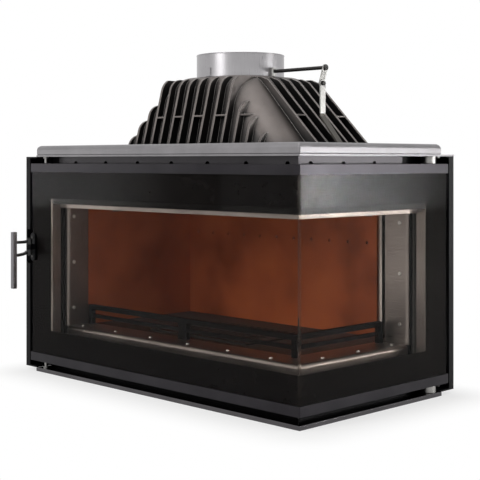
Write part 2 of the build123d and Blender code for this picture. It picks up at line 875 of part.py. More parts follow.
# Link that hangs from the crank, and its bolt
pivot_y = -crank_length * math.sin(math.radians(crank_tilt))
pivot_z = damper_z - crank_length * math.cos(math.radians(crank_tilt))
link_in = damper_reach + running_gap
with BuildPart() as damper_link:
    with BuildSketch(Plane.YZ.offset(link_in)):
        with Locations((pivot_y, (pivot_z + link_low_z) / 2)):
            Rectangle(link_width, pivot_z - link_low_z)
        with Locations((pivot_y, pivot_z)):
            Circle(link_width / 2)
            Circle(link_bolt_r, mode=Mode.SUBTRACT)
    extrude(amount=link_thick)
save(damper_link, "damper_link")

with BuildPart() as link_bolt:
    with BuildSketch(Plane.YZ.offset(link_in)):
        with Locations((pivot_y, pivot_z)):
            Circle(link_bolt_r)
    extrude(amount=link_thick)
    extrude(link_bolt.faces().sort_by(Axis.X)[0], amount=link_thick + 2 * running_gap)
    with BuildSketch(Plane.YZ.offset(link_in + link_thick)):
        with Locations((pivot_y, pivot_z)):
            RegularPolygon(5.5, 6)
    extrude(amount=3.5)
    with BuildSketch(Plane.YZ.offset(crank_in - running_gap)):
        with Locations((pivot_y, pivot_z)):
            Circle(5.0)
    extrude(amount=-2.0)
save(link_bolt, "link_bolt")

# Slanting strap that the link's lower end runs down to
guide_gap = 1.5
guide_top_z = link_low_z - guide_gap
guide_run = 51.0
guide_foot = 22.0
with BuildPart() as link_guide:
    with BuildSketch(Plane.XZ.offset(-pivot_y + link_width / 2)):
        Polygon(
            (link_in, guide_top_z),
            (link_in + link_thick, guide_top_z),
            (link_in + link_thick, guide_top_z - 3),
            (link_in + link_thick + guide_run - 3, cover_top + link_thick),
            (link_in + link_thick + guide_run + guide_foot, cover_top + link_thick),
            (link_in + link_thick + guide_run + guide_foot, cover_top),
            (link_in + guide_run - 4, cover_top),
            (link_in, guide_top_z - 4),
            align=None,
        )
    extrude(amount=-link_width)
save(link_guide, "link_guide")

# Door strips: angles along the top and the bottom edge
pin_hole_r = hinge_pin_r + 0.8
for name, low, leg_low in (
    ("door_top_strip", door_top - rail_height, glass_high),
    ("door_bottom_strip", door_bottom, door_bottom),
):
    with BuildPart() as door_strip:
        l_wall(0, rail_thick, door_left, door_rear, low, low + rail_height)
        l_wall(0, door_thick, door_left, door_rear, leg_low, leg_low + rail_thick)
        fillet(door_strip.edges().filter_by(Axis.Z).group_by(Axis.X)[-1].sort_by(Axis.Y)[0], 2.0)
        post(hinge_x, hinge_y, pin_hole_r, leg_low, leg_low + rail_thick, Mode.SUBTRACT)
    save(door_strip, name)

# Glass panes, butted at the corner on a quarter-round seal
corner_seal_r = frame_in - glass_in
pane_end_x = corner_x - glass_in - corner_seal_r
pane_end_y = corner_y + glass_in + corner_seal_r
bracket_bolts_at = [
    (door_left + bracket_width / 2, bracket_low + 10),
    (door_left + bracket_width / 2, bracket_high - 10),
]
bracket_bolt_r = 2.5


def bolt_holes(start, depth, radius):
    """Cuts the holes of the handle bracket's bolts, from an inset inwards."""
    with BuildSketch(Plane.XZ.offset(-(corner_y + start))) as plan:
        with Locations(*bracket_bolts_at):
            Circle(radius)
    extrude(plan.sketch, amount=-depth, mode=Mode.SUBTRACT)


with BuildPart() as front_glass:
    block(door_left, pane_end_x, corner_y + glass_in, corner_y + print_in, glass_low, glass_high)
    bolt_holes(glass_in, glass_thick, bracket_bolt_r + 1)
save(front_glass, "front_glass")

with BuildPart() as side_glass:
    block(corner_x - print_in, corner_x - glass_in, pane_end_y, door_rear, glass_low, glass_high)
save(side_glass, "side_glass")

with BuildPart() as corner_seal:
    with BuildSketch(Plane.XY.offset(glass_low)):
        with Locations((pane_end_x, pane_end_y)):
            Circle(corner_seal_r)
        with Locations((pane_end_x + corner_seal_r / 2, pane_end_y - corner_seal_r / 2)):
            Rectangle(corner_seal_r, corner_seal_r, mode=Mode.INTERSECT)
    extrude(amount=glass_high - glass_low)
save(corner_seal, "corner_seal")

# Black print on the inner faces of the panes
with BuildPart() as front_print:
    block(door_left, pane_end_x, corner_y + print_in, corner_y + frame_in, glass_low, glass_high)
    block(
        door_left + print_left, pane_end_x, corner_y + print_in, corner_y + frame_in, window_low, window_high,
        Mode.SUBTRACT,
    )
    bolt_holes(print_in, print_thick, bracket_bolt_r + 1)
save(front_print, "front_print")

with BuildPart() as side_print:
    block(corner_x - frame_in, corner_x - print_in, pane_end_y, door_rear, glass_low, glass_high)
    block(
        corner_x - frame_in, corner_x - print_in, pane_end_y, door_rear - print_rear, window_low, window_high,
        Mode.SUBTRACT,
    )
save(side_print, "side_print")

# Door frame behind the glass: two tube stiles and two channels
with BuildPart() as latch_stile:
    with BuildSketch(Plane.XY.offset(glass_low)):
        with Locations(((door_left + stile_x) / 2, corner_y + (frame_in + door_thick) / 2)):
            Rectangle(stile_width, door_thick - frame_in)
            Rectangle(stile_width - 2 * frame_wall, door_thick - frame_in - 2 * frame_wall, mode=Mode.SUBTRACT)
    extrude(amount=glass_high - glass_low)
    bolt_holes(frame_in, frame_wall, bracket_bolt_r + bore_gap)
save(latch_stile, "latch_stile")

with BuildPart() as hinge_stile:
    with BuildSketch(Plane.XY.offset(glass_low)):
        with Locations((corner_x - (frame_in + door_thick) / 2, (hinge_stile_y + door_rear) / 2)):
            Rectangle(door_thick - frame_in, hinge_stile_width)
            Rectangle(
                door_thick - frame_in - 2 * frame_wall, hinge_stile_width - 2 * frame_wall, mode=Mode.SUBTRACT
            )
    extrude(amount=glass_high - glass_low)
save(hinge_stile, "hinge_stile")

channel_high_z = door_top - channel_drop
channel_low_z = door_bottom + channel_rise
for name, low, high, floor in (
    ("door_top_channel", channel_high_z, glass_high, channel_high_z),
    ("door_bottom_channel", glass_low, channel_low_z, channel_low_z - frame_wall),
):
    with BuildPart() as channel:
        l_wall(frame_in, frame_in + frame_wall, stile_x, hinge_stile_y, low, high)
        l_wall(door_thick - frame_wall, door_thick, stile_x, hinge_stile_y, low, high)
        l_wall(frame_in, door_thick, stile_x, hinge_stile_y, floor, floor + frame_wall)
    save(channel, name)

with BuildPart() as air_wash_strip:
    l_wall(
        door_thick - frame_wall, door_thick, stile_x, hinge_stile_y, channel_high_z - wash_height, channel_high_z
    )
save(air_wash_strip, "air_wash_strip")

# Bushes in the hinge stile, and the pins they turn on
with BuildPart() as hinge_bushes:
    for low in (glass_low, glass_high - bush_height):
        block(
            corner_x - door_thick + frame_wall,
            corner_x - frame_in - frame_wall,
            hinge_y - bush_length / 2,
            hinge_y + bush_length / 2,
            low,
            low + bush_height,
        )
        post(hinge_x, hinge_y, hinge_pin_r + bore_gap, low, low + bush_height, Mode.SUBTRACT)
save(hinge_bushes, "hinge_bushes")

with BuildPart() as hinge_pins:
    post(hinge_x, hinge_y, hinge_collar_r, base_thick, door_bottom - running_gap)
    post(hinge_x, hinge_y, hinge_pin_r, base_thick, door_bottom + hinge_pin_reach)
    post(hinge_x, hinge_y, hinge_collar_r, door_top + running_gap, roof_z)
    post(hinge_x, hinge_y, hinge_pin_r, door_top - hinge_pin_reach, roof_z)
    chamfer(hinge_pins.edges().filter_by(GeomType.CIRCLE).filter_by(lambda e: e.radius > hinge_pin_r + 1), 1.0)
save(hinge_pins, "hinge_pins")

# Rope seal round the opening
with BuildPart() as door_seal:
    seal_in = face_in - running_gap
    for low in (seal_low_z, seal_high_z):
        l_wall(door_thick, seal_in, seal_left, seal_rear, low, low + seal_width)
    block(
        seal_left, seal_left + seal_width, corner_y + door_thick, corner_y + seal_in,
        seal_low_z, seal_high_z + seal_width,
    )
    block(
        corner_x - seal_in, corner_x - door_thick, seal_rear - seal_width, seal_rear,
        seal_low_z, seal_high_z + seal_width,
    )
save(door_seal, "door_seal")

# Handle bracket on the glass, with the barrel that the handle turns on
bracket_y = corner_y + glass_in
with BuildPart() as handle_bracket:
    with BuildSketch(Plane.XZ.offset(-bracket_y)):
        with Locations((door_left + bracket_width / 2, (bracket_low + bracket_high) / 2)):
            RectangleRounded(bracket_width, bracket_high - bracket_low, 7)
    extrude(amount=bracket_thick)
    fillet(handle_bracket.faces().sort_by(Axis.Y)[0].edges(), 1.2)
    block(
        handle_x - barrel_r + 1, handle_x + barrel_r - 1, handle_y, bracket_y - bracket_thick,
        barrel_low, barrel_high,
    )
    post(handle_x, handle_y, barrel_r, barrel_low, barrel_high)
    post(handle_x, handle_y, handle_pin_r, barrel_low, barrel_high, Mode.SUBTRACT)
    bolt_holes(glass_in - bracket_thick, bracket_thick, bracket_bolt_r + bore_gap)
save(handle_bracket, "handle_bracket")

# Handle: bar, two arms, two knuckles and the latch hook
arm_high = barrel_high + running_gap
arm_low = barrel_low - running_gap
knuckle_high = arm_high + knuckle_height
knuckle_low = arm_low - knuckle_height
bar_y = handle_y - handle_reach
bar_x = handle_x - 3.0
hook_x = door_left - hook_gap
with BuildPart() as handle:
    block(
        bar_x - handle_bar / 2, bar_x + handle_bar / 2, bar_y - handle_bar / 2, bar_y + handle_bar / 2,
        handle_bar_low, handle_bar_high,
    )
    chamfer(handle.edges(), 1.0)
    for root, drop in ((knuckle_high - arm_thick, high_arm_drop), (arm_low - arm_thick, low_arm_drop)):
        with BuildSketch(Plane.YZ.offset(handle_x - arm_width / 2)):
            with BuildLine():
                Spline(
                    (bar_y, root - drop), (handle_y, root),
                    tangents=[(1, 0), (1, arm_curve)],
                )
                Line((handle_y, root), (handle_y, root + arm_thick))
                Spline(
                    (handle_y, root + arm_thick), (bar_y, root - drop + arm_thick),
                    tangents=[(-1, -arm_curve), (-1, 0)],
                )
                Line((bar_y, root - drop + arm_thick), (bar_y, root - drop))
            make_face()
        extrude(amount=arm_width)
    post(handle_x, handle_y, barrel_r, arm_high, knuckle_high)
    post(handle_x, handle_y, barrel_r, knuckle_low, arm_low)
    with BuildSketch(Plane.XY.offset(hook_low)):
        Polygon(
            (handle_x, handle_y - barrel_r + 1),
            (hook_x + 3, handle_y - 5),
            (hook_x - hook_thick, handle_y + 2),
            (hook_x - hook_thick, hook_end_y - hook_barb),
            (hook_x - hook_thick - hook_barb, hook_end_y - hook_barb),
            (hook_x - hook_thick - hook_barb, hook_end_y),
            (hook_x, hook_end_y),
            (hook_x, handle_y + barrel_r - 1),
            (handle_x, handle_y + barrel_r - 1),
            align=None,
        )
    extrude(amount=hook_high - hook_low)
    post(handle_x, handle_y, handle_pin_r + bore_gap, knuckle_low, knuckle_high, Mode.SUBTRACT)
save(handle, "handle")

with BuildPart() as handle_pin:
    post(handle_x, handle_y, handle_pin_r, knuckle_low - 1.5, knuckle_high + running_gap + pin_head_h)
    post(
        handle_x, handle_y, handle_pin_r + 2, knuckle_high + running_gap, knuckle_high + running_gap + pin_head_h
    )
save(handle_pin, "handle_pin")

# Keeper on the left jamb: a staple that the hook goes behind
with BuildPart() as latch_keeper:
    block(keeper_x, keeper_x + keeper_reach, keeper_y, keeper_y + keeper_thick, keeper_low, keeper_high)
    for low in (keeper_low, keeper_high - 7):
        block(keeper_x, keeper_x + keeper_reach, keeper_y, keeper_y + 27, low, low + 7)
save(latch_keeper, "latch_keeper")

# Bolts of the handle bracket, and a set screw under the door
set_screw_at = (corner_x - set_screw_r, hinge_y + hinge_collar_r - 2.5)
with BuildPart() as door_screws:
    with BuildSketch(Plane.XZ.offset(-(bracket_y - bracket_thick))):
        with Locations(*bracket_bolts_at):
            Circle(bracket_bolt_r + 1.8)
    extrude(amount=2.0, taper=25)
    with BuildSketch(Plane.XZ.offset(-(bracket_y - bracket_thick))):
        with Locations(*bracket_bolts_at):
            Circle(bracket_bolt_r)
    extrude(amount=-(bracket_thick + glass_thick + print_thick + frame_wall + 3))
    post(*set_screw_at, set_screw_r, door_bottom - set_screw_h, door_bottom)
save(door_screws, "door_screws")

# Small pins in the gaps above and below the door, and a screw under the top plate
pin_x = -392.0
pin_y = -262.0
with BuildPart() as centring_pins:
    post(pin_x, pin_y, 3.5, base_thick, door_bottom - 0.5)
    post(pin_x, pin_y, 6.0, base_thick, base_thick + 4)
    post(pin_x, pin_y, 3.5, door_top + 0.5, roof_z)
    post(pin_x, pin_y, 6.0, roof_z - 4, roof_z)
    post(*set_screw_at, set_screw_r, roof_z - set_screw_h, roof_z)
save(centring_pins, "centring_pins")

# Combustion air spigot on the rear wall: a flange, a housing for the flap and the spigot itself
with BuildPart() as air_spigot:
    with BuildSketch(Plane.XZ.offset(-body_rear)):
        with Locations((air_x, air_z)):
            Circle(air_flange_r)
    extrude(amount=-sheet)
    with BuildSketch(Plane.XZ.offset(-body_rear)):
        with Locations((air_x, air_z)):
            Circle(air_housing_r)
    extrude(amount=-air_housing_length)
    with BuildSketch(Plane.XZ.offset(-body_rear)):
        with Locations((air_x, air_z)):
            Circle(air_r)
    extrude(amount=-(air_housing_length + air_length))
    with BuildSketch(Plane.XZ.offset(-body_rear)):
        with Locations((air_x, air_z)):
            Circle(air_r - air_wall)
    extrude(amount=-(air_housing_length + air_length), mode=Mode.SUBTRACT)
    with BuildSketch(Plane.YZ.offset(air_x)):
        with Locations((air_flap_y, air_z)):
            Circle(air_shaft_r + bore_gap)
    extrude(amount=air_housing_r + 5, both=True, mode=Mode.SUBTRACT)
save(air_spigot, "air_spigot")

# Flap in the spigot's housing, and its shaft with the lever
with BuildPart() as air_flap:
    with BuildSketch(Plane.XZ.offset(-(air_flap_y + air_shaft_r))):
        with Locations((air_x, air_z)):
            Circle(air_r - air_wall - air_flap_gap)
    extrude(amount=-air_flap_thick)
save(air_flap, "air_flap")

with BuildPart() as air_flap_shaft:
    with BuildSketch(Plane.YZ.offset(air_x - air_housing_r - 4)):
        with Locations((air_flap_y, air_z)):
            Circle(air_shaft_r)
    extrude(amount=2 * air_housing_r + 12)
    with BuildSketch(Plane.YZ.offset(air_x + air_housing_r + 2)):
        with Locations(Location((air_flap_y, air_z, 0), (0, 0, 135))):
            with Locations((air_lever / 2, 0)):
                SlotCenterToCenter(air_lever, 8)
    extrude(amount=air_lever_thick)
save(air_flap_shaft, "air_flap_shaft")
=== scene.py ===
import math

import bmesh
import bpy
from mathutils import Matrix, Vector


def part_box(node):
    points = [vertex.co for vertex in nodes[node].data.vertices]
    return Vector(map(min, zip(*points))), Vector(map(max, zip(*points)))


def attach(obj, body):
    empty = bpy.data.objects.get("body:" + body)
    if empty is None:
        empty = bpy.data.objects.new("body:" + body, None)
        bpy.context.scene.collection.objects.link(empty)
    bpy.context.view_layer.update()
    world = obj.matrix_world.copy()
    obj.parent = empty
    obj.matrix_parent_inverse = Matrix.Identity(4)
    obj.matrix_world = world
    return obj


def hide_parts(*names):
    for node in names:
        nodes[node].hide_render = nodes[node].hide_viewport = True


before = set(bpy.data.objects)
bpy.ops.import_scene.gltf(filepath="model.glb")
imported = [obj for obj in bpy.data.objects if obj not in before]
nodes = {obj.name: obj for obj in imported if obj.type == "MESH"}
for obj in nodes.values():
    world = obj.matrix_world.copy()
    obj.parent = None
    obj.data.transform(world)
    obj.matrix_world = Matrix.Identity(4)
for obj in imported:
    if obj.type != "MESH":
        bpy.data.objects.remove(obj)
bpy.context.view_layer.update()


def linear(code):
    """sRGB hex colour as linear RGBA."""
    channels = [int(code[i:i + 2], 16) / 255 for i in (1, 3, 5)]
    return tuple(c / 12.92 if c <= 0.04045 else ((c + 0.055) / 1.055) ** 2.4 for c in channels) + (1.0,)


def per_mm(size_mm):
    """Texture scale at which one feature is this many millimetres across."""
    return 1000.0 / size_mm


def add(owner, kind, settings=None, links=None, stops=None):
    """One node with its settings, its inputs linked to other nodes' outputs, and a colour ramp's stops."""
    node = owner.node_tree.nodes.new(kind)
    for name, value in (settings or {}).items():
        if isinstance(name, str) and hasattr(node, name):
            setattr(node, name, value)
        else:
            node.inputs[name].default_value = value
    for name, output in (links or {}).items():
        owner.node_tree.links.new(output, node.inputs[name])
    if stops:
        elements = node.color_ramp.elements
        while len(elements) < len(stops):
            elements.new(0.5)
        for element, (position, code) in zip(elements, stops):
            element.position = position
            element.color = linear(code)
    return node


def blank(name):
    """A material with no nodes but the object's own coordinates, in metres."""
    material = bpy.data.materials.new(name)
    material.use_nodes = True
    material.node_tree.nodes.clear()
    return material, add(material, "ShaderNodeTexCoord").outputs["Object"]


# Sheet steel with sprayed heat-proof paint: satin, with an orange peel about 1.5 mm across that breaks up
# its reflections, cloudy tone over a hand's width, and edges rounded by the paint's thickness
def sprayed_steel(name, deep, pale, rough, metallic=0.0, peel_mm=0.06, gloss=0.5):
    material, place = blank(name)
    cloud = add(
        material, "ShaderNodeTexNoise", {"Scale": per_mm(90.0), "Detail": 4.0, "Roughness": 0.6},
        {"Vector": place},
    )
    peel = add(material, "ShaderNodeTexNoise", {"Scale": per_mm(1.5), "Detail": 2.0}, {"Vector": place})
    colour = add(
        material, "ShaderNodeValToRGB", None, {"Fac": cloud.outputs["Fac"]}, [(0.32, deep), (0.68, pale)]
    )
    satin = add(
        material, "ShaderNodeMapRange",
        {"From Min": 0.3, "From Max": 0.7, "To Min": rough - 0.04, "To Max": rough + 0.05},
        {"Value": cloud.outputs["Fac"]},
    )
    soft_edge = add(material, "ShaderNodeBevel", {"samples": 4, "Radius": 0.0008})
    skin = add(
        material, "ShaderNodeBump", {"Strength": 1.0, "Distance": peel_mm / 1000.0},
        {"Height": peel.outputs["Fac"], "Normal": soft_edge.outputs["Normal"]},
    )
    shader = add(
        material, "ShaderNodeBsdfPrincipled", {"Metallic": metallic, "Specular IOR Level": gloss},
        {
            "Base Color": colour.outputs["Color"],
            "Roughness": satin.outputs[0],
            "Normal": skin.outputs["Normal"],
        },
    )
    add(material, "ShaderNodeOutputMaterial", None, {"Surface": shader.outputs[0]})
    return material


# Rolled stainless sheet, brushed one way: hairlines some 0.4 mm apart, drawn 0.9 mm apart so that they show,
# which stretch each highlight across the grain
def brushed_stainless(name, deep, pale, direction):
    material, place = blank(name)
    rough = 0.3
    grain_scale = tuple(0.02 if axis == direction else 1.0 for axis in "XYZ")
    along = add(material, "ShaderNodeMapping", {"Scale": grain_scale}, {"Vector": place})
    hairline = add(
        material, "ShaderNodeTexNoise", {"Scale": per_mm(0.9), "Detail": 3.0, "Roughness": 0.7},
        {"Vector": along.outputs[0]},
    )
    cloud = add(material, "ShaderNodeTexNoise", {"Scale": per_mm(120.0), "Detail": 3.0}, {"Vector": place})
    tone = add(
        material, "ShaderNodeMath", {"operation": "MULTIPLY_ADD", 1: 0.35},
        {0: hairline.outputs["Fac"], 2: cloud.outputs["Fac"]},
    )
    colour = add(material, "ShaderNodeValToRGB", None, {"Fac": tone.outputs[0]}, [(0.45, deep), (0.9, pale)])
    satin = add(
        material, "ShaderNodeMapRange",
        {"From Min": 0.25, "From Max": 0.75, "To Min": rough - 0.06, "To Max": rough + 0.1},
        {"Value": hairline.outputs["Fac"]},
    )
    soft_edge = add(material, "ShaderNodeBevel", {"samples": 6, "Radius": 0.0018})
    skin = add(
        material, "ShaderNodeBump", {"Strength": 1.0, "Distance": 0.00002},
        {"Height": hairline.outputs["Fac"], "Normal": soft_edge.outputs["Normal"]},
    )
    shader = add(
        material, "ShaderNodeBsdfPrincipled", {"Metallic": 1.0},
        {
            "Base Color": colour.outputs["Color"],
            "Roughness": satin.outputs[0],
            "Normal": skin.outputs["Normal"],
        },
    )
    add(material, "ShaderNodeOutputMaterial", None, {"Surface": shader.outputs[0]})
    return material


# Grey cast iron, sand-cast: a pebbled skin with grains of 1 to 3 mm and a cloudy brown-grey tone; the
# recesses are painted near-black as shade, and edges rounded by the mould are rubbed paler and painted as
# highlights
def cast_iron(name, recess_shade_colour, deep, pale, worn_and_highlit, rough, edge_mm, recess_mm):
    material, place = blank(name)
    pebble = add(
        material, "ShaderNodeTexNoise", {"Scale": per_mm(2.2), "Detail": 6.0, "Roughness": 0.6},
        {"Vector": place},
    )
    cloud = add(material, "ShaderNodeTexNoise", {"Scale": per_mm(70.0), "Detail": 4.0}, {"Vector": place})
    colour = add(
        material, "ShaderNodeValToRGB", None, {"Fac": cloud.outputs["Fac"]}, [(0.3, deep), (0.7, pale)]
    )
    # Painted shade: where ambient occlusion finds a recess, the colour goes to near-black
    recess = add(material, "ShaderNodeAmbientOcclusion", {"samples": 8, "Distance": recess_mm / 1000.0})
    open_air = add(
        material, "ShaderNodeMapRange", {"From Min": 0.55, "From Max": 0.95}, {"Value": recess.outputs["AO"]}
    )
    painted_shade = add(
        material, "ShaderNodeMix", {"data_type": "RGBA", "A": linear(recess_shade_colour)},
        {"Factor": open_air.outputs[0], "B": colour.outputs["Color"]},
    )
    soft_edge = add(material, "ShaderNodeBevel", {"samples": 6, "Radius": edge_mm / 1000.0})
    flat = add(material, "ShaderNodeNewGeometry")
    turn = add(
        material, "ShaderNodeVectorMath", {"operation": "DOT_PRODUCT"},
        {0: soft_edge.outputs["Normal"], 1: flat.outputs["True Normal"]},
    )
    # Partly wear, partly painted highlight: edges where the bevel turns the normal are painted pale
    wear_and_highlight = add(
        material, "ShaderNodeMapRange", {"From Min": 0.99, "From Max": 0.8, "To Min": 0.0, "To Max": 0.85},
        {"Value": turn.outputs["Value"]},
    )
    rubbed_and_highlit = add(
        material, "ShaderNodeMix", {"data_type": "RGBA", "B": linear(worn_and_highlit)},
        {"Factor": wear_and_highlight.outputs[0], "A": painted_shade.outputs["Result"]},
    )
    satin = add(
        material, "ShaderNodeMapRange",
        {"From Min": 0.3, "From Max": 0.7, "To Min": rough - 0.06, "To Max": rough + 0.1},
        {"Value": pebble.outputs["Fac"]},
    )
    skin = add(
        material, "ShaderNodeBump", {"Strength": 1.0, "Distance": 0.00025},
        {"Height": pebble.outputs["Fac"], "Normal": soft_edge.outputs["Normal"]},
    )
    shader = add(
        material, "ShaderNodeBsdfPrincipled", {"Metallic": 0.35, "Specular IOR Level": 0.5},
        {
            "Base Color": rubbed_and_highlit.outputs["Result"],
            "Roughness": satin.outputs[0],
            "Normal": skin.outputs["Normal"],
        },
    )
    add(material, "ShaderNodeOutputMaterial", None, {"Surface": shader.outputs[0]})
    return material


# Zinc-plated steel, bright or blackened: an even tone with a faint spangle about 4 mm across
def zinc_plated(name, deep, pale):
    material, place = blank(name)
    spangle = add(material, "ShaderNodeTexVoronoi", {"Scale": per_mm(4.0)}, {"Vector": place})
    fine = add(material, "ShaderNodeTexNoise", {"Scale": per_mm(0.8), "Detail": 2.0}, {"Vector": place})
    colour = add(
        material, "ShaderNodeValToRGB", None, {"Fac": spangle.outputs["Distance"]}, [(0.0, deep), (1.0, pale)]
    )
    satin = add(
        material, "ShaderNodeMapRange", {"To Min": 0.28, "To Max": 0.4},
        {"Value": spangle.outputs["Distance"]},
    )
    soft_edge = add(material, "ShaderNodeBevel", {"samples": 4, "Radius": 0.0005})
    skin = add(
        material, "ShaderNodeBump", {"Strength": 1.0, "Distance": 0.00001},
        {"Height": fine.outputs["Fac"], "Normal": soft_edge.outputs["Normal"]},
    )
    shader = add(
        material, "ShaderNodeBsdfPrincipled", {"Metallic": 1.0},
        {
            "Base Color": colour.outputs["Color"],
            "Roughness": satin.outputs[0],
            "Normal": skin.outputs["Normal"],
        },
    )
    add(material, "ShaderNodeOutputMaterial", None, {"Surface": shader.outputs[0]})
    return material


# Sheet steel: plain black paint on the casing, the guard and the door's channels, paint with metal flakes on
# the slab, the door's strips and the base, and a like skin in its own tone on sheet that is left unpainted
casing_black = sprayed_steel("black_silicone_paint", "#09080a", "#0f0e10", rough=0.45, gloss=0.08)
guard_black = sprayed_steel("matt_black_paint", "#080708", "#0e0d0e", rough=0.6, gloss=0.04)
wall_black = sprayed_steel("satin_black_paint", "#1b1a1b", "#292829", rough=0.42, gloss=0.4)
slab_grey = sprayed_steel("grey_metallic_paint", "#777577", "#858385", rough=0.4, metallic=0.6, peel_mm=0.03)
strip_grey = sprayed_steel(
    "dark_metallic_paint", "#272528", "#312f32", rough=0.33, metallic=0.85, peel_mm=0.03, gloss=0.2
)
base_steel = sprayed_steel(
    "base_metallic_paint", "#514f51", "#5c5a5c", rough=0.12, metallic=1.0, peel_mm=0.02
)
mill_steel = sprayed_steel("mill_sheet_steel", "#5c5a58", "#6c6a68", rough=0.5, metallic=0.8, peel_mm=0.03)
strap_steel = sprayed_steel("aged_strap_steel", "#45423e", "#5a5650", rough=0.45, metallic=0.7, peel_mm=0.05)
strip_steel = sprayed_steel(
    "dark_perforated_steel", "#393739", "#454345", rough=0.38, metallic=0.85, peel_mm=0.03, gloss=0.2
)
hood_iron = cast_iron(
    "sand_cast_iron", "#060505", "#5c5552", "#716965", "#ccc6c1", rough=0.4, edge_mm=1.2, recess_mm=45.0
)
hearth_iron = cast_iron(
    "hearth_cast_iron", "#14100f", "#241f1d", "#332b28", "#57504b", rough=0.6, edge_mm=1.0, recess_mm=15.0
)
stainless_x = brushed_stainless("stainless_brushed_along_x", "#6c6562", "#857e7a", direction="X")
stainless_z = brushed_stainless("stainless_brushed_upright", "#625c59", "#7b7470", direction="Z")
screw_steel = zinc_plated("stainless_screw", "#a8a5a2", "#bdbab7")
collar_steel = brushed_stainless("satin_collar_steel", "#939193", "#a5a3a5", direction="Z")
zinc = zinc_plated("zinc_plated_steel", "#858381", "#9a9996")
dark_zinc = zinc_plated("black_zinc_steel", "#2d2c2b", "#3d3c3b")

# Firebox lining: steel sheet tinted by heat, red-brown with darker sooty clouds and a faint upright mill
# grain; the fold at the back sheet's free end stays bare and bright
lining, place = blank("heat_tinted_steel")
soot = add(lining, "ShaderNodeTexNoise", {"Scale": per_mm(130.0), "Detail": 5.0}, {"Vector": place})
mill_along = add(lining, "ShaderNodeMapping", {"Scale": (1.0, 1.0, 0.05)}, {"Vector": place})
mill = add(
    lining, "ShaderNodeTexNoise", {"Scale": per_mm(1.6), "Detail": 3.0}, {"Vector": mill_along.outputs[0]}
)
tint = add(
    lining, "ShaderNodeValToRGB", None, {"Fac": soot.outputs["Fac"]},
    [(0.2, "#6b2c13"), (0.5, "#b05a30"), (0.8, "#cb703e")],
)
dullness = add(
    lining, "ShaderNodeMapRange", {"From Min": 0.3, "From Max": 0.7, "To Min": 0.42, "To Max": 0.6},
    {"Value": soot.outputs["Fac"]},
)
mill_skin = add(
    lining, "ShaderNodeBump", {"Strength": 1.0, "Distance": 0.00003}, {"Height": mill.outputs["Fac"]}
)
fold_high = Vector(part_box("back_lining")[1])
fold_size = 0.008
apart = add(lining, "ShaderNodeSeparateXYZ", None, {"Vector": place})
at_end = add(
    lining, "ShaderNodeMapRange",
    {"From Min": fold_high.x - fold_size, "From Max": fold_high.x - fold_size / 2},
    {"Value": apart.outputs["X"]},
)
bare = add(
    lining, "ShaderNodeMix", {"data_type": "RGBA", "B": linear("#b9b3ae")},
    {"Factor": at_end.outputs[0], "A": tint.outputs["Color"]},
)
bare_metal = add(lining, "ShaderNodeMapRange", {"To Min": 0.3, "To Max": 1.0}, {"Value": at_end.outputs[0]})
lining_shader = add(
    lining, "ShaderNodeBsdfPrincipled", {"Specular IOR Level": 0.2},
    {
        "Base Color": bare.outputs["Result"],
        "Metallic": bare_metal.outputs[0],
        "Roughness": dullness.outputs[0],
        "Normal": mill_skin.outputs["Normal"],
    },
)
add(lining, "ShaderNodeOutputMaterial", None, {"Surface": lining_shader.outputs[0]})

# Handle: a square stainless bar, dulled, on black-painted arms; the paint ends where the arms meet the bar
handle_steel, place = blank("stainless_bar_on_black_arms")
bar_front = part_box("handle")[0][1]
bar_depth = 0.0109  # just short of the bar's back
paint_edge = 0.0006
apart = add(handle_steel, "ShaderNodeSeparateXYZ", None, {"Vector": place})
on_arm = add(
    handle_steel, "ShaderNodeMapRange",
    {"From Min": bar_front + bar_depth, "From Max": bar_front + bar_depth + paint_edge},
    {"Value": apart.outputs["Y"]},
)
brush_along = add(handle_steel, "ShaderNodeMapping", {"Scale": (1.0, 1.0, 0.03)}, {"Vector": place})
brush = add(
    handle_steel, "ShaderNodeTexNoise", {"Scale": per_mm(0.9), "Detail": 3.0},
    {"Vector": brush_along.outputs[0]},
)
bar_tone = add(
    handle_steel, "ShaderNodeValToRGB", None, {"Fac": brush.outputs["Fac"]},
    [(0.3, "#676568"), (0.7, "#7b797c")],
)
bar_or_arm = add(
    handle_steel, "ShaderNodeMix", {"data_type": "RGBA", "B": linear("#121112")},
    {"Factor": on_arm.outputs[0], "A": bar_tone.outputs["Color"]},
)
bar_metal = add(handle_steel, "ShaderNodeMath", {"operation": "SUBTRACT", 0: 1.0}, {1: on_arm.outputs[0]})
bar_rough = add(
    handle_steel, "ShaderNodeMapRange", {"To Min": 0.34, "To Max": 0.46}, {"Value": brush.outputs["Fac"]}
)
bar_edge = add(handle_steel, "ShaderNodeBevel", {"samples": 4, "Radius": 0.0008})
bar_skin = add(
    handle_steel, "ShaderNodeBump", {"Strength": 1.0, "Distance": 0.00002},
    {"Height": brush.outputs["Fac"], "Normal": bar_edge.outputs["Normal"]},
)
bar_shader = add(
    handle_steel, "ShaderNodeBsdfPrincipled", None,
    {
        "Base Color": bar_or_arm.outputs["Result"],
        "Metallic": bar_metal.outputs[0],
        "Roughness": bar_rough.outputs[0],
        "Normal": bar_skin.outputs["Normal"],
    },
)
add(handle_steel, "ShaderNodeOutputMaterial", None, {"Surface": bar_shader.outputs[0]})

